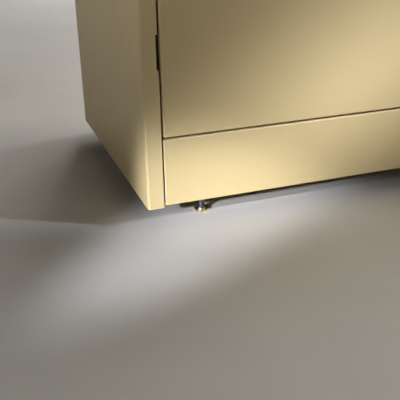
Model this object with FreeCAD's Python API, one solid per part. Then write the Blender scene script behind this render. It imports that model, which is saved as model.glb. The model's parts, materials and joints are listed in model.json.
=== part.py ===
"""Two-drawer lateral filing cabinet in folded sheet steel.

Millimetres. X runs to the cabinet's right, Y to its back and Z up. The origin is on the floor,
at the centre of the overall footprint. The front faces -Y.
"""
import FreeCAD, Part
import math
import os

from FreeCAD import Vector

# ---- driving dimensions -------------------------------------------------------------------------
CASE_WIDTH = 914.4
CASE_DEPTH = 489.0
OVERALL_HEIGHT = 749.0
FLOOR_GAP = 30.0           # height of the case's lower edge above the floor
SHEET = 1.0                # case and drawer sheet
CHANNEL_SHEET = 1.5        # base channels, uprights and slide members
POST_WIDTH = 25.4          # front face of each side panel
CAP_HEIGHT = 26.0
TOE_HEIGHT = 103.6
TOE_LIFT = 2.7             # the toe panel stops this far above the side panels' lower edge
DOOR_GAP = 3.2             # gaps above and below each drawer front
FRONT_SIDE_GAP = 3.0       # gap between a drawer front and each post
TOE_SIDE_GAP = 2.0         # gap between the toe panel and each post
DRAWER_NAMES = ("lower", "upper")
FRONT_DEPTH = 20.0         # thickness of a drawer's hollow front
LOCK_PROUD = 2.5           # the lock's face stands this far out of the front
RIVET_PROUD = 1.3          # and the rivets' heads this far out of the back

# ---- planes that follow from them ---------------------------------------------------------------
X_SIDE = CASE_WIDTH / 2
X_OPENING = X_SIDE - POST_WIDTH
X_INSIDE = X_SIDE - SHEET
X_FRONT = X_OPENING - FRONT_SIDE_GAP
Y_FRONT = LOCK_PROUD - (CASE_DEPTH + LOCK_PROUD + RIVET_PROUD) / 2
Y_BACK = Y_FRONT + CASE_DEPTH
Z_CASE = FLOOR_GAP
Z_CAP = OVERALL_HEIGHT - CAP_HEIGHT
Z_TOE = Z_CASE + TOE_LIFT
Z_TOE_TOP = Z_TOE + TOE_HEIGHT
Z_FIRST_FRONT = Z_TOE_TOP + DOOR_GAP
DRAWER_PITCH = (Z_CAP - Z_FIRST_FRONT) / len(DRAWER_NAMES)
FRONT_HEIGHT = DRAWER_PITCH - DOOR_GAP

# ---- drawer bodies, heights measured up from a drawer front's lower edge ------------------------
BODY_FLOOR = 6.5
BODY_HEIGHT = 252.0
BODY_DEPTH = 450.0
BODY_X = 423.0             # outer face of a drawer's side walls
ROLL = 9.0                 # width of the rolled top edges
ROLL_DROP = 8.0
FLOOR_LIP = 16.0           # upturned front and rear edges of the drawer floor
BEND = 2.4
Y_BODY = Y_FRONT + FRONT_DEPTH
Y_BODY_END = Y_BODY + BODY_DEPTH

# ---- recessed pull, label holder and file rails -------------------------------------------------
PULL_HEIGHT = 24.0
PULL_DROP = 9.0            # top of the pull opening below the drawer front's upper edge
PULL_END = 15.0
PULL_POCKET = 11.0         # how far fingers reach down behind the opening's lower lip
LABEL_WIDTH = 82.0
LABEL_HEIGHT = 24.0
LABEL_DROP = 62.0
LABEL_FRAME = 4.0
RAIL_THICKNESS = 2.0
RAIL_HEIGHT = 22.0
RAIL_SETBACK = 24.0
RAIL_SPACING = 308.0

# ---- slides -------------------------------------------------------------------------------------
SLIDE_HEIGHT = 123.1       # slide's centre line above a drawer front's lower edge
SLIDE_LENGTH = 410.0
Y_SLIDE = Y_FRONT + 28.0
X_UPRIGHT = 436.0          # face of the uprights, where a slide's fixed member is screwed
X_MIDDLE = 432.3           # outer face of the middle member's web
UPRIGHT_SETBACKS = (62.0, 372.0)
UPRIGHT_WIDTH = 26.0
NOTCH_HEIGHT = 50.0        # clearance in the posts' inner edges for the slides
NOTCH_WIDTH = 3.5
RETURN_DEPTH = 24.0        # depth of the posts' return flanges

# ---- lock ---------------------------------------------------------------------------------------
LOCK_X = 420.0
LOCK_Z = Z_CAP + CAP_HEIGHT / 2
BARREL_RADIUS = 9.0
PLUG_RADIUS = 6.0
CAM_RADIUS = 12.0          # also how far the bar lifts
PIN_RADIUS = 2.0
Y_CAM = Y_FRONT + 28.0
CAM_THICKNESS = 2.0
BAR_X = 438.0
BAR_WIDTH = 6.0
Y_BAR = Y_FRONT + 31.0
BAR_THICKNESS = 3.0
LUG_HEIGHT = 4.0
HOOK_HEIGHT = 9.0
HOOK_CLEARANCE = 2.0       # between a hook and its catch, both ways, while unlocked
CATCH_HEIGHT = 171.5       # underside of a catch above the drawer front's lower edge
CATCH_SIZE = 11.0

# ---- base and glides ----------------------------------------------------------------------------
GLIDE_X = 361.6
GLIDE_INSET = 36.0
CHANNEL_WIDTH = 24.0
CHANNEL_TOP = 60.0
CHANNEL_FOOT = 33.0
BALLAST_HEIGHT = 46.0
BALLAST_BOLTS = (-250.0, 250.0)
STEM_RADIUS = 4.76
STEM_TOP = 76.0
THREAD_PITCH = 1.6
HEX_FLATS = 22.2
HEX_HEIGHT = 5.0
HEX_TURN = 11.0            # rotation of each hex foot about its stem, degrees
FOOT_SOCKET = 1.5          # height of the socket's bottom, where a stem starts
RUNNING_CLEARANCE = 0.05   # radial, in the bores that stems and plug turn in

# ---- fasteners ----------------------------------------------------------------------------------
RIVET_RADIUS = 1.65
RIVET_HOLE = 1.7
RIVET_INSET = 9.0          # rivets' centres from the case's sides
SCREW_HOLE = 2.1
BOLT_RADIUS = 5.0
BOLT_HOLE = 5.5            # also the stems' holes in the channels
BOLT_FLATS = 16.0
BOLT_HEAD = 6.4
NUT_HEIGHT = 8.0


# ---- shape tools --------------------------------------------------------------------------------
def box(x0, x1, y0, y1, z0, z1):
    low = Vector(min(x0, x1), min(y0, y1), min(z0, z1))
    return Part.makeBox(abs(x1 - x0), abs(y1 - y0), abs(z1 - z0), low)


def rod(radius, start, direction, length):
    return Part.makeCylinder(radius, length, Vector(*start), Vector(*direction))


def cone(radius_low, radius_high, x, y, z, height):
    return Part.makeCone(radius_low, radius_high, height, Vector(x, y, z))


def hexagon(flats, x, y, z, height, turn=0.0):
    corner = flats / math.sqrt(3)
    points = []
    for k in range(7):
        angle = math.radians(60 * k + turn)
        points.append(Vector(x + corner * math.cos(angle), y + corner * math.sin(angle), z))
    return Part.Face(Part.makePolygon(points)).extrude(Vector(0, 0, height))


def join(first, *others):
    return first.fuse(list(others)).removeSplitter()


def mirror_x(shape):
    return shape.mirror(Vector(0, 0, 0), Vector(1, 0, 0))


def both_sides(right):
    return Part.makeCompound([right, mirror_x(right)])


def fillet_where(shape, radius, wanted):
    """Rounds the edges whose bounding box passes the test."""
    edges = [edge for edge in shape.Edges if wanted(edge.BoundBox)]
    return shape.makeFillet(radius, edges)


def lies_at(low, high, at):
    return abs(low - at) < 1e-4 and abs(high - at) < 1e-4


def heading(start, end):
    """Unit direction from one 2-D point to another, and the distance."""
    dx, dy = end[0] - start[0], end[1] - start[1]
    length = math.hypot(dx, dy)
    return dx / length, dy / length, length


def rounded_skin(points, radii):
    """A polyline with its inner corners rounded, as (start, middle or None, end) pieces."""
    pieces = []
    last = points[0]
    for before, corner, after, radius in zip(points, points[1:], points[2:], radii):
        ux, uy, _ = heading(before, corner)
        vx, vy, _ = heading(corner, after)
        turn = math.atan2(ux * vy - uy * vx, ux * vx + uy * vy)
        back = radius * math.tan(abs(turn) / 2)
        start = (corner[0] - ux * back, corner[1] - uy * back)
        end = (corner[0] + vx * back, corner[1] + vy * back)
        pieces.append((last, None, start))
        if radius > 0:
            side = math.copysign(radius, turn)
            centre = (start[0] - uy * side, start[1] + ux * side)
            wx, wy, _ = heading(centre, corner)
            middle = (centre[0] + wx * radius, centre[1] + wy * radius)
            pieces.append((start, middle, end))
        last = end
    pieces.append((last, None, points[-1]))
    return pieces


def offset_polyline(points, distance):
    """The polyline moved sideways, positive to its left."""
    moved = []
    for index, (x, y) in enumerate(points):
        ux, uy, _ = heading(*(points[index - 1:index + 1] if index else points[:2]))
        vx, vy, _ = heading(*(points[index:index + 2] if index < len(points) - 1 else points[-2:]))
        spread = 1 + ux * vx + uy * vy
        moved.append((x - distance * (uy + vy) / spread, y + distance * (ux + vx) / spread))
    return moved


def bent_sheet(points, radii, thickness, plane, at, length):
    """Folded sheet. points and radii give one skin of the profile and its bends. The sheet lies to
    the left of the points' direction where thickness is positive, and plane names their axes."""
    other_radii = []
    for before, corner, after, radius in zip(points, points[1:], points[2:], radii):
        ux, uy, _ = heading(before, corner)
        vx, vy, _ = heading(corner, after)
        turns_left = ux * vy - uy * vx > 0
        other_radii.append(radius - thickness if turns_left else radius + thickness)
    other = offset_polyline(points, thickness)
    outline = rounded_skin(points, radii)
    outline.append((points[-1], None, other[-1]))
    outline += rounded_skin(other[::-1], [max(0.0, r) for r in other_radii[::-1]])
    outline.append((other[0], None, points[0]))
    to_space, along = {
        "xy": (lambda a, b: Vector(a, b, at), Vector(0, 0, length)),
        "yz": (lambda a, b: Vector(at, a, b), Vector(length, 0, 0)),
        "xz": (lambda a, b: Vector(a, at, b), Vector(0, length, 0)),
    }[plane]
    edges = []
    for start, middle, end in outline:
        p, q = to_space(*start), to_space(*end)
        if p.distanceToPoint(q) < 1e-6:
            continue
        if middle is None:
            edges.append(Part.makeLine(p, q))
        else:
            edges.append(Part.Arc(p, to_space(*middle), q).toShape())
    wire = Part.Wire(Part.__sortEdges__(edges))
    return Part.Face(wire).extrude(along)


def front_pan(half_width, depth, z0, z1, side_radius, edge_radius):
    """Shallow tray that opens backwards, rounded all round its front face."""
    y1 = Y_FRONT + depth
    outer = box(-half_width, half_width, Y_FRONT, y1, z0, z1)
    outer = fillet_where(
        outer, side_radius, lambda b: lies_at(b.YMin, b.YMax, Y_FRONT) and b.ZLength > 1)
    outer = fillet_where(
        outer, edge_radius, lambda b: lies_at(b.YMin, b.YMax, Y_FRONT) and b.XLength > 50)
    x = half_width - SHEET
    y = Y_FRONT + SHEET
    inner = box(-x, x, y, y1 + 1, z0 + SHEET, z1 - SHEET)
    inner = fillet_where(
        inner, side_radius - SHEET, lambda b: lies_at(b.YMin, b.YMax, y) and b.ZLength > 1)
    return outer.cut(inner)


def pan_head_screw(start, direction, length, head_radius=4.0, head_height=1.8):
    """Cross-recessed screw. Its head ends at the start point and its shank runs on from there."""
    x, y, z = start
    dx, dy, dz = direction
    top = Vector(x - dx * head_height, y - dy * head_height, z - dz * head_height)
    head = rod(head_radius, top, direction, head_height)
    head = fillet_where(head, head_height / 2, lambda b: b.Center.distanceToPoint(top) < 0.1)
    shank = rod(head_radius / 2, start, direction, length)
    arm, blade, depth = head_radius * 0.55, head_radius * 0.16, head_height * 0.6
    sideways = Vector(dy, -dx, 0)
    cross = []
    for along_z, along_side in ((arm, blade), (blade, arm)):
        reach = sideways * along_side + Vector(0, 0, along_z)
        low = top - reach - Vector(*direction)
        high = top + reach + Vector(*direction) * depth
        cross.append(box(low.x, high.x, low.y, high.y, low.z, high.z))
    return join(head.cut(cross), shank)


# ---- places shared by several pieces ------------------------------------------------------------
def front_z(index):
    """Lower edge of a drawer's front."""
    return Z_FIRST_FRONT + index * DRAWER_PITCH


def slide_z(index):
    return front_z(index) + SLIDE_HEIGHT


def body_top(index):
    return front_z(index) + BODY_FLOOR + BODY_HEIGHT


def rivet_places():
    """Centres of the rivets down the back panel's two edges, as (x, z)."""
    count, end = 6, 40.0
    pitch = (Z_CAP - Z_CASE - 2 * end) / (count - 1)
    return [(x, Z_CASE + end + k * pitch) for x in (RIVET_INSET - X_SIDE, X_SIDE - RIVET_INSET)
            for k in range(count)]


def slide_screw_places(index):
    """Centres of the screws in the right-hand fixed member of a drawer's slides, as (y, z)."""
    return [(Y_FRONT + setback + UPRIGHT_WIDTH / 2, slide_z(index)) for setback in UPRIGHT_SETBACKS]


def front_screw_places(index):
    """Centres of the screws that hold a drawer's front to its body, as (x, z)."""
    return [(x, front_z(index) + BODY_FLOOR + 9.5) for x in (-330, -110, 110, 330)]


def glide_places():
    """Centre of each glide, by name."""
    places = {}
    for row, y in (("front", Y_FRONT + GLIDE_INSET), ("rear", Y_BACK - GLIDE_INSET)):
        for side, x in (("left", -GLIDE_X), ("right", GLIDE_X)):
            places[f"{row}_{side}"] = (x, y)
    return places


# ---- case ---------------------------------------------------------------------------------------
def right_side_panel():
    """Side wall, front post and rear flange, folded from one sheet."""
    outline = [
        (X_SIDE - 16, Y_BACK), (X_SIDE, Y_BACK), (X_SIDE, Y_FRONT),
        (X_OPENING, Y_FRONT), (X_OPENING, Y_FRONT + RETURN_DEPTH),
    ]
    panel = bent_sheet(outline, [3, 4, 2], -SHEET, "xy", Z_CASE, Z_CAP - Z_CASE)
    cuts = []
    for index in range(len(DRAWER_NAMES)):
        z = slide_z(index)
        cuts.append(box(
            X_OPENING - 1, X_OPENING + NOTCH_WIDTH, Y_FRONT - 1, Y_FRONT + RETURN_DEPTH + 1,
            z - NOTCH_HEIGHT / 2, z + NOTCH_HEIGHT / 2))
    for x, z in rivet_places():
        if x > 0:
            cuts.append(rod(RIVET_HOLE, (x, Y_BACK - 4, z), (0, 1, 0), 6))
    top_flange = box(X_SIDE - 10, X_INSIDE, Y_FRONT + 40, Y_BACK - 20, Z_CAP - SHEET, Z_CAP)
    foot_flange = box(X_SIDE - 18, X_INSIDE, Y_FRONT + 60, Y_BACK - 60, Z_CASE, Z_CASE + SHEET)
    return join(panel.cut(cuts), top_flange, foot_flange)


def back_panel():
    """Flat sheet stiffened by three vertical ribs pressed inwards."""
    y = Y_BACK - SHEET
    half, depth, slope = 22.0, 6.0, 5.0
    corner_clearance = 2.2
    points = [(corner_clearance - X_INSIDE, y)]
    for centre in (-230.0, 0.0, 230.0):
        points += [
            (centre - half - slope, y), (centre - half, y - depth),
            (centre + half, y - depth), (centre + half + slope, y),
        ]
    points.append((X_INSIDE - corner_clearance, y))
    sheet = bent_sheet(points, [2.5] * 12, -SHEET, "xy", Z_CASE + 2, Z_CAP - Z_CASE - 3)
    return sheet.cut([rod(RIVET_HOLE, (x, y - 3, z), (0, 1, 0), 6) for x, z in rivet_places()])


def top_cap():
    """Top with a short skirt all round and a hem that sits on the side panels."""
    hem = 11.0
    outer = box(-X_SIDE, X_SIDE, Y_FRONT, Y_BACK, Z_CAP, OVERALL_HEIGHT)
    outer = fillet_where(outer, 4.0, lambda b: b.ZLength > 20)
    outer = fillet_where(outer, 3.0, lambda b: lies_at(b.ZMin, b.ZMax, OVERALL_HEIGHT))
    outer = fillet_where(outer, 1.0, lambda b: lies_at(b.ZMin, b.ZMax, Z_CAP))
    inner = box(-X_INSIDE, X_INSIDE, Y_FRONT + SHEET, Y_BACK - SHEET,
                Z_CAP + SHEET, OVERALL_HEIGHT - SHEET)
    inner = fillet_where(inner, 3.0, lambda b: b.ZLength > 20)
    mouth = box(-X_SIDE + hem, X_SIDE - hem, Y_FRONT + hem, Y_BACK - hem, Z_CAP - 1, Z_CAP + 2)
    lock_hole = rod(BARREL_RADIUS + 0.1, (LOCK_X, Y_FRONT - 1, LOCK_Z), (0, 1, 0), 4)
    return outer.cut([inner, mouth, lock_hole])


def bottom_pan():
    """Case floor under the lower drawer, with down-turned sides fixed to the slide uprights."""
    top = Z_TOE_TOP - SHEET
    drop = 18.0
    y0, y1 = Y_FRONT + 5, Y_BACK - 10
    outline = [
        (-X_UPRIGHT, top - drop), (-X_UPRIGHT, top), (X_UPRIGHT, top), (X_UPRIGHT, top - drop),
    ]
    floor = bent_sheet(outline, [2, 2], -SHEET, "xz", y0, y1 - y0)
    inside_toe = X_OPENING - TOE_SIDE_GAP - SHEET - 0.2
    behind_post = box(
        inside_toe, X_UPRIGHT + 1, y0 - 1, Y_FRONT + RETURN_DEPTH + 1, top - drop - 1, top + 1)
    return floor.cut([behind_post, mirror_x(behind_post)])


def toe_panel():
    """Plain base board between the posts."""
    return front_pan(X_OPENING - TOE_SIDE_GAP, 18.0, Z_TOE, Z_TOE_TOP, 2.0, 2.0)


def base_channel(y_centre):
    """Inverted channel across the base. Its web carries the nuts of two glides."""
    half = CHANNEL_WIDTH / 2
    outline = [
        (y_centre - half, CHANNEL_FOOT), (y_centre - half, CHANNEL_TOP),
        (y_centre + half, CHANNEL_TOP), (y_centre + half, CHANNEL_FOOT),
    ]
    channel = bent_sheet(outline, [3, 3], -CHANNEL_SHEET, "yz", -X_INSIDE, 2 * X_INSIDE)
    places = [-GLIDE_X, GLIDE_X]
    if y_centre > 0:
        places += BALLAST_BOLTS
    return channel.cut([rod(BOLT_HOLE, (x, y_centre, CHANNEL_TOP - 5), (0, 0, 1), 8) for x in places])


def counterweight():
    """Steel ballast bar on the rear channel, against tipping when a drawer is out."""
    half_length, depth, clearance = 330.0, 72.0, 18.0
    y1 = Y_BACK - clearance
    bar = box(-half_length, half_length, y1 - depth, y1, CHANNEL_TOP, CHANNEL_TOP + BALLAST_HEIGHT)
    bar = fillet_where(bar, 2.0, lambda b: b.XLength > half_length)
    y = Y_BACK - GLIDE_INSET
    return bar.cut([rod(BOLT_HOLE, (x, y, CHANNEL_TOP - 1), (0, 0, 1), 60) for x in BALLAST_BOLTS])


def slide_uprights():
    """Four vertical channels on the side walls that carry the drawer slides."""
    rights = []
    for setback in UPRIGHT_SETBACKS:
        y = Y_FRONT + setback
        outline = [
            (X_INSIDE, y), (X_UPRIGHT, y), (X_UPRIGHT, y + UPRIGHT_WIDTH), (X_INSIDE, y + UPRIGHT_WIDTH),
        ]
        upright = bent_sheet(outline, [2.5, 2.5], -CHANNEL_SHEET, "xy",
                             CHANNEL_TOP + 4, Z_CAP - CHANNEL_TOP - 8)
        for index in range(len(DRAWER_NAMES)):
            hole = (X_UPRIGHT - 1, y + UPRIGHT_WIDTH / 2, slide_z(index))
            upright = upright.cut(rod(SCREW_HOLE, hole, (1, 0, 0), 4))
        rights += [upright, mirror_x(upright)]
    return Part.makeCompound(rights)


def glide_nuts():
    """Hexagonal weld nuts on the channels' webs."""
    nuts = []
    for x, y in glide_places().values():
        nut = hexagon(BOLT_FLATS, x, y, CHANNEL_TOP, NUT_HEIGHT)
        bore = rod(STEM_RADIUS + RUNNING_CLEARANCE, (x, y, CHANNEL_TOP - 1), (0, 0, 1), 12)
        nuts.append(nut.cut(bore))
    return Part.makeCompound(nuts)


def counterweight_bolts():
    """Bolts through the ballast bar and the rear channel, each with its nut."""
    bolts = []
    y = Y_BACK - GLIDE_INSET
    top = CHANNEL_TOP + BALLAST_HEIGHT
    for x in BALLAST_BOLTS:
        head = hexagon(BOLT_FLATS, x, y, top, BOLT_HEAD)
        shank = rod(BOLT_RADIUS, (x, y, CHANNEL_TOP - 14), (0, 0, 1), top - CHANNEL_TOP + 14)
        nut = hexagon(BOLT_FLATS, x, y, CHANNEL_TOP - CHANNEL_SHEET - NUT_HEIGHT, NUT_HEIGHT)
        bolts.append(join(head, shank, nut))
    return Part.makeCompound(bolts)


def slide_screws():
    """Screws that fix the slides' outer members to the uprights."""
    screws = []
    for index in range(len(DRAWER_NAMES)):
        for y, z in slide_screw_places(index):
            screw = pan_head_screw((X_UPRIGHT - CHANNEL_SHEET, y, z), (1, 0, 0), 9.0, 3.8, 1.5)
            screws += [screw, mirror_x(screw)]
    return Part.makeCompound(screws)


def back_rivets():
    """Domed blind rivets down the back panel's two edges."""
    rivets = []
    head_radius = 3.2
    sphere = (head_radius ** 2 + RIVET_PROUD ** 2) / (2 * RIVET_PROUD)
    for x, z in rivet_places():
        dome = Part.makeSphere(sphere, Vector(x, Y_BACK + RIVET_PROUD - sphere, z))
        head = dome.common(box(x - 5, x + 5, Y_BACK, Y_BACK + 5, z - 5, z + 5))
        rivets.append(join(head, rod(RIVET_RADIUS, (x, Y_BACK - 5, z), (0, 1, 0), 5)))
    return Part.makeCompound(rivets)


def drawer_bumpers():
    """Rubber buffers on the back panel, two to a drawer."""
    buffers = []
    face = Y_BACK - 2 * SHEET
    flange, spread, height = 4.0, 380.0, 90.0
    for index in range(len(DRAWER_NAMES)):
        for x in (-spread, spread):
            z = front_z(index) + height
            base = rod(10.0, (x, face, z), (0, -1, 0), flange)
            start = Vector(x, face - flange, z)
            nose = Part.makeCone(8.0, 6.0, face - flange - Y_BODY_END - 0.8, start, Vector(0, -1, 0))
            buffers.append(join(base, nose))
    return Part.makeCompound(buffers)


# ---- glides -------------------------------------------------------------------------------------
def glide_stem(x, y):
    """Threaded stem, plain above the exposed thread."""
    stem = rod(STEM_RADIUS, (x, y, FOOT_SOCKET), (0, 0, 1), STEM_TOP - FOOT_SOCKET)
    stem = fillet_where(stem, 1.0, lambda b: lies_at(b.ZMin, b.ZMax, STEM_TOP))
    depth, outside = 0.55, STEM_RADIUS + 0.3
    half = THREAD_PITCH / 2
    grooves = []
    for k in range(13):
        z = HEX_HEIGHT + 3.0 + k * THREAD_PITCH
        sleeve = rod(outside, (x, y, z), (0, 0, 1), THREAD_PITCH)
        narrowing = cone(outside, STEM_RADIUS - depth, x, y, z, half)
        widening = cone(STEM_RADIUS - depth, outside, x, y, z + half, half)
        grooves.append(sleeve.cut([narrowing, widening]))
    return stem.cut(grooves)


def glide_foot(x, y):
    """Hexagonal foot: flat sides, dished top and a collar round the stem's socket."""
    foot = hexagon(HEX_FLATS, x, y, 0, HEX_HEIGHT - 1.6, HEX_TURN)
    turned_edge = 1.6
    lower_chamfer = cone(HEX_FLATS / 2 + 0.3, HEX_FLATS / 2 + 2.3, x, y, 0, turned_edge)
    above = rod(HEX_FLATS, (x, y, turned_edge), (0, 0, 1), HEX_HEIGHT)
    foot = foot.common(lower_chamfer.fuse(above))
    dish = cone(8.0, 10.6, x, y, HEX_HEIGHT - 2.6, 1.1)
    collar = cone(7.4, 6.2, x, y, 1.0, HEX_HEIGHT - 1.0)
    socket = rod(STEM_RADIUS, (x, y, FOOT_SOCKET), (0, 0, 1), HEX_HEIGHT)
    return join(foot.cut(dish), collar).cut(socket)


# ---- drawer fronts ------------------------------------------------------------------------------
def drawer_front(index):
    """Outer pan of the hollow front, with the long opening of the recessed pull."""
    z0 = front_z(index)
    z1 = z0 + FRONT_HEIGHT
    x = X_FRONT - PULL_END
    pan = front_pan(X_FRONT, FRONT_DEPTH, z0, z1, 3.5, 2.0)
    opening = box(-x, x, Y_FRONT - 1, Y_FRONT + 3, z1 - PULL_DROP - PULL_HEIGHT, z1 - PULL_DROP)
    opening = fillet_where(opening, 6.0, lambda b: b.YLength > 3 and b.XLength < 1)
    return pan.cut(opening)


def pull_channel(index):
    """Trough behind the pull's opening, with closed ends. Its pocket is behind the lower lip."""
    thickness = 1.0
    top = front_z(index) + FRONT_HEIGHT - PULL_DROP + 2
    low = top - 2 - PULL_HEIGHT - PULL_POCKET - thickness
    y0, y1 = Y_FRONT + SHEET, Y_FRONT + FRONT_DEPTH - SHEET - 1.4
    x = X_FRONT - PULL_END + 4
    outline = [(y0, top), (y1, top), (y1, low), (y0, low), (y0, low + PULL_POCKET)]
    trough = bent_sheet(outline, [5, 5, 1.6], -thickness, "yz", -x, 2 * x)
    end = box(x - thickness, x, y0 + thickness, y1 - thickness, low + thickness, top - thickness)
    return join(trough, end, mirror_x(end))


def front_liner(index):
    """Flat sheet that closes the back of the hollow front."""
    z0 = front_z(index) + SHEET
    z1 = front_z(index) + FRONT_HEIGHT - SHEET
    x = X_FRONT - SHEET
    liner = box(-x, x, Y_BODY - SHEET, Y_BODY, z0, z1)
    holes = [rod(SCREW_HOLE, (x, Y_BODY - 3, z), (0, 1, 0), 5) for x, z in front_screw_places(index)]
    return liner.cut(holes)


def label_holder(index):
    """Card frame, open at its right end so that a card slides in."""
    z = front_z(index) + FRONT_HEIGHT - LABEL_DROP
    x, half = LABEL_WIDTH / 2, LABEL_HEIGHT / 2
    proud = 2.0
    face = Y_FRONT - proud
    frame = box(-x, x, face, Y_FRONT, z - half, z + half)
    frame = fillet_where(frame, 2.5, lambda b: b.YLength > 1 and b.XLength < 1 and b.ZLength < 1)
    frame = fillet_where(frame, 0.6, lambda b: lies_at(b.YMin, b.YMax, face))
    inset = LABEL_FRAME
    window = box(-x + inset, x - inset, face - 1, Y_FRONT + 1, z - half + inset, z + half - inset)
    lip = LABEL_FRAME / 2
    pocket = box(-x + lip, x + 1, Y_FRONT - proud / 2, Y_FRONT + 1, z - half + lip, z + half - lip)
    return frame.cut([window, pocket])


def label_card(index):
    z = front_z(index) + FRONT_HEIGHT - LABEL_DROP
    margin = LABEL_FRAME / 2 + 0.4
    x, half = LABEL_WIDTH / 2 - margin, LABEL_HEIGHT / 2 - margin
    return box(-x, x, Y_FRONT - 0.6, Y_FRONT - 0.1, z - half, z + half)


def front_screws(index):
    """Screws through the drawer floor's front lip and the liner into the hollow front."""
    screws = []
    for x, z in front_screw_places(index):
        screws.append(pan_head_screw((x, Y_BODY + SHEET, z), (0, -1, 0), 8.0))
    return Part.makeCompound(screws)


# ---- drawer bodies ------------------------------------------------------------------------------
def drawer_floor(index):
    """Drawer bottom with upturned front and rear edges."""
    z = front_z(index) + BODY_FLOOR
    x = BODY_X - SHEET
    y1 = Y_BODY_END - SHEET
    outline = [(Y_BODY, z + FLOOR_LIP), (Y_BODY, z), (y1, z), (y1, z + FLOOR_LIP)]
    floor = bent_sheet(outline, [BEND, BEND], SHEET, "yz", -x, 2 * x)
    holes = [rod(SCREW_HOLE, (x, Y_BODY - 1, z), (0, 1, 0), 4) for x, z in front_screw_places(index)]
    return floor.cut(holes)


def drawer_side(index):
    """Right-hand side wall with a rolled top edge."""
    z0 = front_z(index) + BODY_FLOOR
    z1 = body_top(index)
    outline = [(BODY_X, z0), (BODY_X, z1), (BODY_X - ROLL, z1), (BODY_X - ROLL, z1 - ROLL_DROP)]
    return bent_sheet(outline, [BEND, BEND], SHEET, "xz", Y_BODY, BODY_DEPTH)


def drawer_back(index):
    """Rear wall between the side walls, with a rolled top edge."""
    z0 = front_z(index) + BODY_FLOOR + SHEET
    z1 = body_top(index)
    y = Y_BODY_END
    outline = [(y, z0), (y, z1), (y - ROLL, z1), (y - ROLL, z1 - ROLL_DROP)]
    x = BODY_X - ROLL - 0.4
    wall = bent_sheet(outline, [BEND, BEND], SHEET, "yz", -x, 2 * x)
    wing = box(x, BODY_X - SHEET, y - SHEET, y, z0, z1 - ROLL_DROP - 2)
    return join(wall, wing, mirror_x(wing))


def hang_rails(index):
    """Two file rails across the drawer, hooked over the side walls' rolled edges."""
    z1 = body_top(index)
    x = BODY_X - ROLL - 0.3
    rails = []
    for y in (Y_BODY + RAIL_SETBACK, Y_BODY + RAIL_SETBACK + RAIL_SPACING):
        blade = box(-x, x, y, y + RAIL_THICKNESS, z1 - RAIL_HEIGHT, z1 + RAIL_THICKNESS)
        hook = box(x - 12, BODY_X - 2, y, y + RAIL_THICKNESS, z1, z1 + RAIL_THICKNESS)
        rails.append(join(blade, hook, mirror_x(hook)))
    return Part.makeCompound(rails)


def lock_catch(index):
    """Angle on the drawer's right side that a hook of the lock bar stops."""
    z0 = front_z(index) + CATCH_HEIGHT
    y0 = Y_BAR + BAR_THICKNESS + HOOK_CLEARANCE
    foot = box(BODY_X, BODY_X + CHANNEL_SHEET, y0, y0 + 22, z0, z0 + CATCH_SIZE)
    arm = box(BODY_X, BODY_X + 7, y0, y0 + CHANNEL_SHEET, z0, z0 + CATCH_SIZE)
    return join(foot, arm)


# ---- slides, each made on the right-hand side and mirrored --------------------------------------
def slide_section(web, tip, half_height, z, y0, length):
    """Channel with its web's outer face at web and its flanges reaching to tip."""
    outline = [(tip, z - half_height), (web, z - half_height), (web, z + half_height),
               (tip, z + half_height)]
    thickness = math.copysign(CHANNEL_SHEET, web - tip)
    return bent_sheet(outline, [2.2, 2.2], thickness, "xz", y0, length)


def slide_outer(index):
    """Members fixed to the uprights."""
    z = slide_z(index)
    member = slide_section(X_UPRIGHT, X_UPRIGHT - 11.5, 23.0, z, Y_SLIDE, SLIDE_LENGTH)
    holes = [rod(SCREW_HOLE, (X_UPRIGHT - 3, y, z), (1, 0, 0), 5) for y, z in slide_screw_places(index)]
    return both_sides(member.cut(holes))


def slide_middle(index):
    """Floating members, which move half as far as the drawer."""
    z = slide_z(index)
    return both_sides(slide_section(X_MIDDLE, X_MIDDLE - 7.3, 16.5, z, Y_SLIDE + 2, SLIDE_LENGTH - 10))


def slide_inner(index):
    """Members fixed to the drawer's side walls."""
    z = slide_z(index)
    return both_sides(slide_section(BODY_X, BODY_X + 6.5, 11.0, z, Y_SLIDE - 4, SLIDE_LENGTH))


def slide_balls(index):
    """Balls that run on the middle members: outside at the rear, inside at the front."""
    z = slide_z(index)
    outside_row = (2.35, X_UPRIGHT - 7.4, 19.0, Y_SLIDE + 215)
    inside_row = (1.85, X_MIDDLE - 5.0, 13.0, Y_SLIDE + 20)
    pitch, count = 24.0, 8
    balls = []
    for radius, x, height, y0 in (outside_row, inside_row):
        for k in range(count):
            for up in (-1, 1):
                ball = Part.makeSphere(radius, Vector(x, y0 + k * pitch, z + up * height))
                balls += [ball, mirror_x(ball)]
    return Part.makeCompound(balls)


# ---- lock ---------------------------------------------------------------------------------------
def lock_housing():
    """Barrel with a round bezel, clamped to the cap's front by a nut."""
    face = Y_FRONT - LOCK_PROUD
    bezel = rod(11.0, (LOCK_X, face, LOCK_Z), (0, 1, 0), LOCK_PROUD)
    bezel = fillet_where(bezel, 1.2, lambda b: lies_at(b.YMin, b.YMax, face))
    barrel = rod(BARREL_RADIUS, (LOCK_X, Y_FRONT, LOCK_Z), (0, 1, 0), Y_CAM - Y_FRONT - 2)
    nut = rod(10.6, (LOCK_X, Y_FRONT + SHEET, LOCK_Z), (0, 1, 0), 3.5)
    bore = rod(PLUG_RADIUS + RUNNING_CLEARANCE, (LOCK_X, face - 1, LOCK_Z), (0, 1, 0), 40)
    return join(bezel, barrel, nut).cut(bore)


def lock_plug():
    """Turning plug with its keyway."""
    y0 = Y_FRONT - LOCK_PROUD + 0.5
    plug = rod(PLUG_RADIUS, (LOCK_X, y0, LOCK_Z), (0, 1, 0), Y_CAM - y0)
    keyway = box(LOCK_X - 0.9, LOCK_X + 0.9, y0 - 1, y0 + 16, LOCK_Z - 3.8, LOCK_Z + 3.8)
    return plug.cut(keyway)


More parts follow.
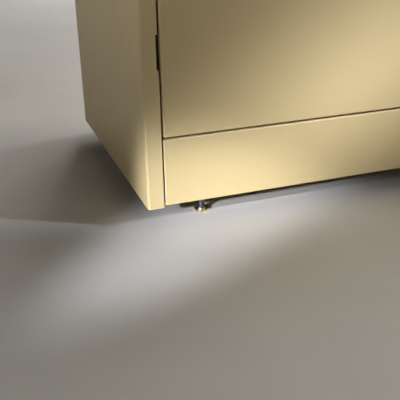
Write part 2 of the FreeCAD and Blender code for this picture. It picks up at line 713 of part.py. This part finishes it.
def lock_cam():
    """Lever on the plug's end. Its pin lifts the lock bar as the key turns."""
    z = LOCK_Z - CAM_RADIUS
    lever = box(LOCK_X - 4, LOCK_X + 4, Y_CAM, Y_CAM + CAM_THICKNESS, z, LOCK_Z)
    hub = rod(PLUG_RADIUS, (LOCK_X, Y_CAM, LOCK_Z), (0, 1, 0), CAM_THICKNESS)
    tip = rod(4.0, (LOCK_X, Y_CAM, z), (0, 1, 0), CAM_THICKNESS)
    pin = rod(PIN_RADIUS, (LOCK_X, Y_CAM + CAM_THICKNESS, z), (0, 1, 0), 4.5)
    return join(lever, hub, tip, pin)


def lock_bar():
    """Flat bar behind the right post, with a lug over the cam's pin and a hook for each drawer."""
    y1 = Y_BAR + BAR_THICKNESS
    lug_low = LOCK_Z - CAM_RADIUS + PIN_RADIUS + 0.3
    bar_low = front_z(0) + CATCH_HEIGHT - 50
    bar = box(BAR_X, BAR_X + BAR_WIDTH, Y_BAR, y1, bar_low, lug_low + LUG_HEIGHT)
    branches = [box(LOCK_X - 3, BAR_X, Y_BAR, y1, lug_low, lug_low + LUG_HEIGHT)]
    for index in range(len(DRAWER_NAMES)):
        top = front_z(index) + CATCH_HEIGHT - HOOK_CLEARANCE
        branches.append(box(BODY_X + 2, BAR_X, Y_BAR, y1, top - HOOK_HEIGHT, top))
    return join(bar, *branches)


def lock_bar_guides():
    """Nylon blocks on the right side wall that the bar slides in."""
    gap = 0.3
    blocks = []
    for index in range(len(DRAWER_NAMES)):
        z = front_z(index) + CATCH_HEIGHT - 40
        block = box(BAR_X - 1.5, X_INSIDE, Y_BAR - 2.5, Y_BAR + BAR_THICKNESS + 2.5, z, z + 14)
        slot = box(BAR_X - gap, BAR_X + BAR_WIDTH + gap, Y_BAR - gap, Y_BAR + BAR_THICKNESS + gap,
                   z - 1, z + 15)
        blocks.append(block.cut(slot))
    return Part.makeCompound(blocks)


# ---- the whole cabinet --------------------------------------------------------------------------
def case_nodes():
    right = right_side_panel()
    return {
        "left_side_panel": mirror_x(right),
        "right_side_panel": right,
        "back_panel": back_panel(),
        "top_cap": top_cap(),
        "bottom_pan": bottom_pan(),
        "toe_panel": toe_panel(),
        "front_base_channel": base_channel(Y_FRONT + GLIDE_INSET),
        "rear_base_channel": base_channel(Y_BACK - GLIDE_INSET),
        "counterweight": counterweight(),
        "counterweight_bolts": counterweight_bolts(),
        "slide_uprights": slide_uprights(),
        "slide_screws": slide_screws(),
        "glide_nuts": glide_nuts(),
        "back_rivets": back_rivets(),
        "drawer_bumpers": drawer_bumpers(),
    }


def lock_nodes():
    return {
        "lock_housing": lock_housing(),
        "lock_plug": lock_plug(),
        "lock_cam": lock_cam(),
        "lock_bar": lock_bar(),
        "lock_bar_guides": lock_bar_guides(),
    }


def glide_nodes():
    nodes = {}
    for name, (x, y) in glide_places().items():
        nodes[f"{name}_glide_foot"] = glide_foot(x, y)
        nodes[f"{name}_glide_stem"] = glide_stem(x, y)
    return nodes


def drawer_nodes(index, name):
    side = drawer_side(index)
    return {
        f"{name}_drawer_front": drawer_front(index),
        f"{name}_pull_channel": pull_channel(index),
        f"{name}_front_liner": front_liner(index),
        f"{name}_front_screws": front_screws(index),
        f"{name}_label_holder": label_holder(index),
        f"{name}_label_card": label_card(index),
        f"{name}_drawer_floor": drawer_floor(index),
        f"{name}_drawer_side_left": mirror_x(side),
        f"{name}_drawer_side_right": side,
        f"{name}_drawer_back": drawer_back(index),
        f"{name}_hang_rails": hang_rails(index),
        f"{name}_lock_catch": lock_catch(index),
        f"{name}_slide_outer": slide_outer(index),
        f"{name}_slide_middle": slide_middle(index),
        f"{name}_slide_inner": slide_inner(index),
        f"{name}_slide_balls": slide_balls(index),
    }


def all_nodes():
    nodes = {**case_nodes(), **lock_nodes(), **glide_nodes()}
    for index, name in enumerate(DRAWER_NAMES):
        nodes.update(drawer_nodes(index, name))
    return nodes


def main():
    os.makedirs("parts", exist_ok=True)
    for name, shape in all_nodes().items():
        if not shape.isValid():
            raise ValueError(name + " is not a valid shape")
        shape.exportStep(os.path.join("parts", name + ".step"))
        print(f"{name:26s} {len(shape.Solids):3d} solids {shape.Volume / 1000:8.1f} cm3")


main()
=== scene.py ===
"""Looks of the two-drawer lateral filing cabinet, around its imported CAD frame. Metres."""
import json
import math

import bpy
from mathutils import Matrix, Vector


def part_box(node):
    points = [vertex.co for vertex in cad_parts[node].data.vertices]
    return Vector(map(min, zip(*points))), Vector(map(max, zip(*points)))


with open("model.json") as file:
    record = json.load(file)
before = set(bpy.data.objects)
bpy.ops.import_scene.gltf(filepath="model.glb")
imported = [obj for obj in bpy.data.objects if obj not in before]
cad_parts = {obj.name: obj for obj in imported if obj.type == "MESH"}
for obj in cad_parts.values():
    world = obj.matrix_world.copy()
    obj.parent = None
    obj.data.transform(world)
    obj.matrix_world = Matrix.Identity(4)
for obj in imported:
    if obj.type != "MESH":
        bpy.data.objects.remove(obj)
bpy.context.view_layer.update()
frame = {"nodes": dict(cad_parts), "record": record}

CORNER = Vector(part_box("left_side_panel")[0])   # lower front corner of the left side

# ---- camera, measured from that corner ----------------------------------------------------------
CAMERA_OFFSET = Vector((-0.2391, -0.9291, 0.4374))
CAMERA_YAW = math.radians(19.03)
CAMERA_PITCH = math.radians(-23.82)
CAMERA_ROLL = math.radians(-1.22)
CAMERA_LENS = 63.43
CAMERA_SENSOR = 36.0

# ---- colours of surfaces and lights, linear ------------------------------------------------------
PUTTY = (0.70, 0.56, 0.295)
PUTTY_DARK = (0.67, 0.53, 0.27)
# edge colour of the coat: partly wear, partly a painted highlight along bends and edges
PUTTY_WEAR_AND_HIGHLIGHT = (0.98, 0.87, 0.62)
# painted shade: near-black colour put in narrow gaps and inside corners, where shade falls
GAP_PAINTED_SHADE = (0.05, 0.035, 0.015)
ZINC = (0.66, 0.67, 0.68)
YELLOW_ZINC = (0.70, 0.50, 0.22)
YELLOW_ZINC_PALE = (0.78, 0.66, 0.42)
YELLOW_ZINC_WORN = (0.85, 0.82, 0.74)
FLOOR = (0.62, 0.62, 0.62)
FLOOR_PALE = (0.67, 0.67, 0.67)
WARM_WHITE = (1.0, 0.965, 0.9)
COOL_WHITE = (0.98, 0.99, 1.05)
SURROUND = (1.0, 0.85, 0.6)
SURROUND_STRENGTH = 0.035
BACKDROP = (0.60, 0.595, 0.58)

# ---- floor and its lamps, metres unless said ----------------------------------------------------
FLOOR_HALF = 12.0
FLOOR_LAMP_OUT = 8.0       # how far from the cabinet the lamps over the distant floor hang
FLOOR_LAMP_HIGH = 6.0
FLOOR_LAMP_SIZE = 8.0
FLOOR_LAMP_WATTS = 45.0    # per metre of the lamp's width
FLOOR_LAMP_SPREAD = 60     # degrees, narrow enough to miss the shut cabinet


# ---- node tools ---------------------------------------------------------------------------------
class Surface:
    """A material's node tree around one Principled shader, read in object coordinates."""

    def __init__(self, name, roughness, metallic=0.0):
        self.material = bpy.data.materials.new(name)
        self.material.use_nodes = True
        self.tree = self.material.node_tree
        self.shader = self.tree.nodes["Principled BSDF"]
        self.coordinates = self.tree.nodes.new("ShaderNodeTexCoord").outputs["Object"]
        self.set("Roughness", roughness)
        self.set("Metallic", metallic)

    def set(self, socket, value):
        self.shader.inputs[socket].default_value = value

    def add(self, kind, **settings):
        node = self.tree.nodes.new("ShaderNode" + kind)
        for key, value in settings.items():
            setattr(node, key, value)
        return node

    def link(self, output, target):
        self.tree.links.new(output, target)

    def stretched(self, scale):
        node = self.add("Mapping")
        node.inputs["Scale"].default_value = scale
        self.link(self.coordinates, node.inputs["Vector"])
        return node.outputs["Vector"]

    def noise(self, scale, detail=3.0, roughness=0.5, stretch=None):
        node = self.add("TexNoise")
        node.inputs["Scale"].default_value = scale
        node.inputs["Detail"].default_value = detail
        node.inputs["Roughness"].default_value = roughness
        self.link(self.stretched(stretch) if stretch else self.coordinates, node.inputs["Vector"])
        return node.outputs["Fac"]

    def spread(self, value, low, high, to_low=0.0, to_high=1.0):
        """The value with low..high stretched to to_low..to_high, and held at those ends."""
        node = self.add("MapRange")
        for socket, number in zip(("From Min", "From Max", "To Min", "To Max"),
                                  (low, high, to_low, to_high)):
            node.inputs[socket].default_value = number
        self.link(value, node.inputs["Value"])
        return node.outputs["Result"]

    def mix(self, factor, first, second):
        """The first colour where the factor is 0, the second where it is 1."""
        node = self.add("Mix", data_type="RGBA")
        self.link(factor, node.inputs["Factor"])
        for socket, colour in (("A", first), ("B", second)):
            target = next(s for s in node.inputs if s.name == socket and s.type == "RGBA")
            if isinstance(colour, tuple):
                target.default_value = (*colour, 1.0)
            else:
                self.link(colour, target)
        return next(s for s in node.outputs if s.type == "RGBA")

    def sharp_edge_mask(self, radius=0.0026):
        """1 within about a radius of a sharp edge, 0 elsewhere."""
        bevel = self.add("Bevel", samples=6)
        bevel.inputs["Radius"].default_value = radius
        geometry = self.add("NewGeometry")
        align = self.add("VectorMath", operation="DOT_PRODUCT")
        self.link(bevel.outputs["Normal"], align.inputs[0])
        self.link(geometry.outputs["Normal"], align.inputs[1])
        return self.spread(align.outputs["Value"], 0.99, 0.8)

    def gap_shade_mask(self, reach=0.005):
        """1 deep in narrow gaps and inside corners, 0 on open faces: where the coat gets its painted
        shade.
        """
        occlusion = self.add("AmbientOcclusion", samples=6)
        occlusion.inputs["Distance"].default_value = reach
        return self.spread(occlusion.outputs["AO"], 0.42, 0.12)

    def colour(self, output):
        self.link(output, self.shader.inputs["Base Color"])

    def rough(self, output, low, high):
        self.link(self.spread(output, 0.3, 0.7, low, high), self.shader.inputs["Roughness"])

    def bump(self, *layers):
        """Each layer is a height output and how deep it is in metres."""
        normal = None
        for height, depth in layers:
            node = self.add("Bump")
            node.inputs["Distance"].default_value = depth
            node.inputs["Strength"].default_value = 1.0
            self.link(height, node.inputs["Height"])
            if normal:
                self.link(normal, node.inputs["Normal"])
            normal = node.outputs["Normal"]
        self.link(normal, self.shader.inputs["Normal"])


# ---- materials ----------------------------------------------------------------------------------
def powder_coat(name, base, dark, edge_wear_and_highlight):
    """Semi-gloss coat: fine orange peel over sheet that is never quite flat, with painted shade
    darkening its gaps and edges lightened by wear and painted highlight.
    """
    s = Surface(name, 0.5)
    tone = s.mix(s.spread(s.noise(2.5, 4.0), 0.35, 0.65), base, dark)
    fine = s.mix(s.spread(s.noise(420.0, 2.0), 0.45, 0.75, 0.0, 0.35), tone, dark)
    # edges lightened: partly wear of the coat, partly a painted highlight along the bends
    edged = s.mix(s.sharp_edge_mask(), fine, edge_wear_and_highlight)
    # painted shade: the colour goes near black in narrow gaps and inside corners, standing in for the
    # shade there
    s.colour(s.mix(s.gap_shade_mask(), edged, GAP_PAINTED_SHADE))
    s.rough(s.noise(35.0, 5.0), 0.45, 0.56)
    s.bump((s.noise(4.0, 1.0), 0.0008), (s.noise(750.0, 2.0, 0.4), 0.00006))
    return s.material


def zinc_plate(name, base, dark, roughness, stretch=(1.0, 1.0, 1.0)):
    """Bright plating with small grains and fine rubbing marks."""
    s = Surface(name, roughness, metallic=1.0)
    s.colour(s.mix(s.spread(s.noise(160.0, 4.0), 0.35, 0.65), base, dark))
    s.rough(s.noise(300.0, 3.0, stretch=stretch), roughness - 0.08, roughness + 0.1)
    s.bump((s.noise(900.0, 2.0, stretch=stretch), 0.00003))
    return s.material


def yellow_zinc():
    """Passivated plating: gold with paler, slightly greenish clouds."""
    s = Surface("yellow_zinc", 0.3, metallic=1.0)
    clouds = s.mix(s.spread(s.noise(90.0, 3.0), 0.38, 0.62), YELLOW_ZINC, YELLOW_ZINC_PALE)
    s.colour(s.mix(s.sharp_edge_mask(), clouds, YELLOW_ZINC_WORN))
    s.rough(s.noise(260.0, 4.0), 0.2, 0.38)
    s.bump((s.noise(700.0, 2.0), 0.00004))
    return s.material


def chrome():
    s = Surface("lock_chrome", 0.12, metallic=1.0)
    s.colour(s.mix(s.spread(s.noise(200.0, 3.0), 0.4, 0.6), (0.78, 0.78, 0.79), (0.7, 0.7, 0.72)))
    s.rough(s.noise(500.0, 4.0), 0.08, 0.2)
    return s.material


def rubber():
    s = Surface("rubber", 0.75)
    s.colour(s.mix(s.spread(s.noise(300.0, 3.0), 0.4, 0.6), (0.03, 0.03, 0.032), (0.05, 0.05, 0.05)))
    s.rough(s.noise(200.0, 3.0), 0.65, 0.85)
    s.bump((s.noise(800.0, 3.0), 0.00008))
    return s.material


def nylon():
    s = Surface("nylon", 0.45)
    s.set("Subsurface Weight", 0.1)
    s.colour(s.mix(s.spread(s.noise(120.0, 2.0), 0.4, 0.6), (0.78, 0.77, 0.73), (0.72, 0.71, 0.68)))
    s.rough(s.noise(300.0, 3.0), 0.38, 0.52)
    return s.material


def ballast_paint():
    """Thin black dip paint over rough-cut bar."""
    s = Surface("ballast_paint", 0.55)
    s.colour(s.mix(s.spread(s.noise(60.0, 5.0), 0.4, 0.65), (0.03, 0.03, 0.032), (0.06, 0.058, 0.055)))
    s.rough(s.noise(90.0, 4.0), 0.45, 0.7)
    s.bump((s.noise(150.0, 5.0), 0.0003))
    return s.material


def card():
    """Blank card: fibres and a faint mottle."""
    s = Surface("label_card", 0.8)
    s.colour(s.mix(s.spread(s.noise(500.0, 4.0), 0.4, 0.65), (0.84, 0.82, 0.75), (0.78, 0.76, 0.69)))
    s.rough(s.noise(400.0, 3.0), 0.72, 0.88)
    s.bump((s.noise(1200.0, 4.0, stretch=(1.0, 1.0, 3.0)), 0.00003))
    return s.material


def floor_finish():
    s = Surface("pale_floor", 0.5)
    s.colour(s.mix(s.spread(s.noise(3.0, 5.0), 0.35, 0.65), FLOOR, FLOOR_PALE))
    s.rough(s.noise(20.0, 4.0), 0.42, 0.55)
    s.bump((s.noise(260.0, 4.0), 0.0001))
    return s.material


def paint_nodes():
    """Gives every CAD node the material of its slot in the record."""
    finishes = {
        "case_paint": powder_coat("putty_powder_coat", PUTTY, PUTTY_DARK, PUTTY_WEAR_AND_HIGHLIGHT),
        "label_plastic": powder_coat("putty_label_frame", PUTTY, PUTTY_DARK, PUTTY_WEAR_AND_HIGHLIGHT),
        "bright_zinc": zinc_plate("bright_zinc", ZINC, (0.5, 0.51, 0.52), 0.25),
        "slide_zinc": zinc_plate("slide_zinc", (0.58, 0.6, 0.62), (0.46, 0.48, 0.5), 0.36, (1, 0.05, 1)),
        "ball_steel": zinc_plate("ball_steel", (0.75, 0.75, 0.76), (0.68, 0.68, 0.69), 0.14),
        "glide_foot_zinc": yellow_zinc(),
        "ballast_paint": ballast_paint(),
        "lock_chrome": chrome(),
        "label_card": card(),
        "rubber": rubber(),
        "nylon": nylon(),
    }
    stem_zinc = zinc_plate("stem_zinc", (0.34, 0.36, 0.39), (0.2, 0.21, 0.23), 0.24)
    slots = {part["node"]: part["material_slot"] for part in frame["record"]["subparts"]}
    for name, node in frame["nodes"].items():
        finish = stem_zinc if name.endswith("glide_stem") else finishes[slots[name]]
        for material_slot in node.material_slots:
            material_slot.material = finish


# ---- stage --------------------------------------------------------------------------------------
def make_floor():
    mesh = bpy.data.meshes.new("floor")
    corners = [(x * FLOOR_HALF, y * FLOOR_HALF, 0) for x, y in ((-1, -1), (1, -1), (1, 1), (-1, 1))]
    mesh.from_pydata(corners, [], [(0, 1, 2, 3)])
    floor = bpy.data.objects.new("floor", mesh)
    bpy.context.scene.collection.objects.link(floor)
    mesh.materials.append(floor_finish())


def make_world():
    """A dim, warm surround for the light, and a pale backdrop where the camera looks past the floor."""
    world = bpy.data.worlds.new("studio")
    world.use_nodes = True
    tree = world.node_tree
    surround = tree.nodes["Background"]
    surround.inputs["Color"].default_value = (*SURROUND, 1.0)
    surround.inputs["Strength"].default_value = SURROUND_STRENGTH
    backdrop = tree.nodes.new("ShaderNodeBackground")
    backdrop.inputs["Color"].default_value = (*BACKDROP, 1.0)
    rays = tree.nodes.new("ShaderNodeLightPath")
    choose = tree.nodes.new("ShaderNodeMixShader")
    tree.links.new(rays.outputs["Is Camera Ray"], choose.inputs["Fac"])
    tree.links.new(surround.outputs["Background"], choose.inputs[1])
    tree.links.new(backdrop.outputs["Background"], choose.inputs[2])
    tree.links.new(choose.outputs["Shader"], tree.nodes["World Output"].inputs["Surface"])
    bpy.context.scene.world = world


def hang_lamp(name, light, place, target, power):
    """Puts a light at a place, aimed at a target, with its power in watts."""
    light.energy = power
    lamp = bpy.data.objects.new(name, light)
    lamp.location = place
    lamp.rotation_euler = (Vector(target) - Vector(place)).to_track_quat("-Z", "Y").to_euler()
    bpy.context.scene.collection.objects.link(lamp)


def soft_box(name, place, target, width, height, power, spread=180):
    light = bpy.data.lights.new(name, "AREA")
    light.shape = "RECTANGLE"
    light.size, light.size_y = width, height
    light.color = WARM_WHITE
    light.spread = math.radians(spread)
    hang_lamp(name, light, place, target, power)


def pool(name, direction, distance, target, cone, power, softness):
    """Round pool of light on the target, fading to its edge. direction points from it to the lamp."""
    light = bpy.data.lights.new(name, "SPOT")
    light.spot_size = math.radians(cone)
    light.spot_blend = 1.0
    light.shadow_soft_size = softness
    light.color = COOL_WHITE
    hang_lamp(name, light, Vector(target) + Vector(direction).normalized() * distance, target, power)


def light_cabinet():
    """Four pools of light on the front and left, and soft boxes around and above to fill the rest."""
    pool("toe_pool", (-0.72, -0.52, 0.31), 2.2, CORNER + Vector((0.11, 0, -0.025)), 8.0, 300.0, 0.04)
    pool("drawer_pool", (0.80, -0.50, 0.45), 2.4, CORNER + Vector((0.31, 0, 0.135)), 6.8, 560.0, 0.12)
    pool("upper_front", (-0.70, -0.60, 0.42), 3.2, CORNER + Vector((0.52, 0, 0.64)), 15.0, 460.0, 0.4)
    pool("upper_left", (-0.85, 0.2, 0.5), 3.0, CORNER + Vector((0, 0.25, 0.66)), 14.0, 130.0, 0.4)
    soft_box("front_left_fill", (-3.2, -2.9, 1.5), (-0.3, -0.2, 0.3), 1.4, 1.4, 10.0)
    soft_box("right_fill", (3.2, 0.7, 1.6), (0.3, 0, 0.35), 1.6, 1.4, 50.0)
    soft_box("back_fill", (1.3, 3.4, 1.7), (0, 0.2, 0.35), 1.4, 1.4, 48.0)
    soft_box("overhead", (0.60, 0.45, 4.2), (0.60, 0.45, 0), 2.0, 2.0, 54.0)


def light_distant_floor():
    """One wide lamp straight above the floor on each side of the cabinet."""
    for name, side_x, side_y, width in (("front_floor", 0, -1, 20), ("back_floor", 0, 1, 20),
                                        ("left_floor", -1, 0, 8), ("right_floor", 1, 0, 8)):
        x, y = side_x * FLOOR_LAMP_OUT, side_y * FLOOR_LAMP_OUT
        soft_box(name, (x, y, FLOOR_LAMP_HIGH), (x, y, 0), width, FLOOR_LAMP_SIZE,
                 FLOOR_LAMP_WATTS * width, FLOOR_LAMP_SPREAD)


def make_camera():
    data = bpy.data.cameras.new("camera")
    data.lens = CAMERA_LENS
    data.sensor_width = CAMERA_SENSOR
    data.clip_start = 0.02
    camera = bpy.data.objects.new("camera", data)
    upright = Matrix.Rotation(-CAMERA_YAW, 4, "Z") @ Matrix.Rotation(math.pi / 2 + CAMERA_PITCH, 4, "X")
    camera.matrix_world = Matrix.Translation(CORNER + CAMERA_OFFSET) @ upright \
        @ Matrix.Rotation(CAMERA_ROLL, 4, "Z")
    bpy.context.scene.collection.objects.link(camera)
    bpy.context.scene.camera = camera


paint_nodes()
make_floor()
make_world()
light_cabinet()
light_distant_floor()
make_camera()
bpy.context.scene.view_settings.view_transform = "Standard"
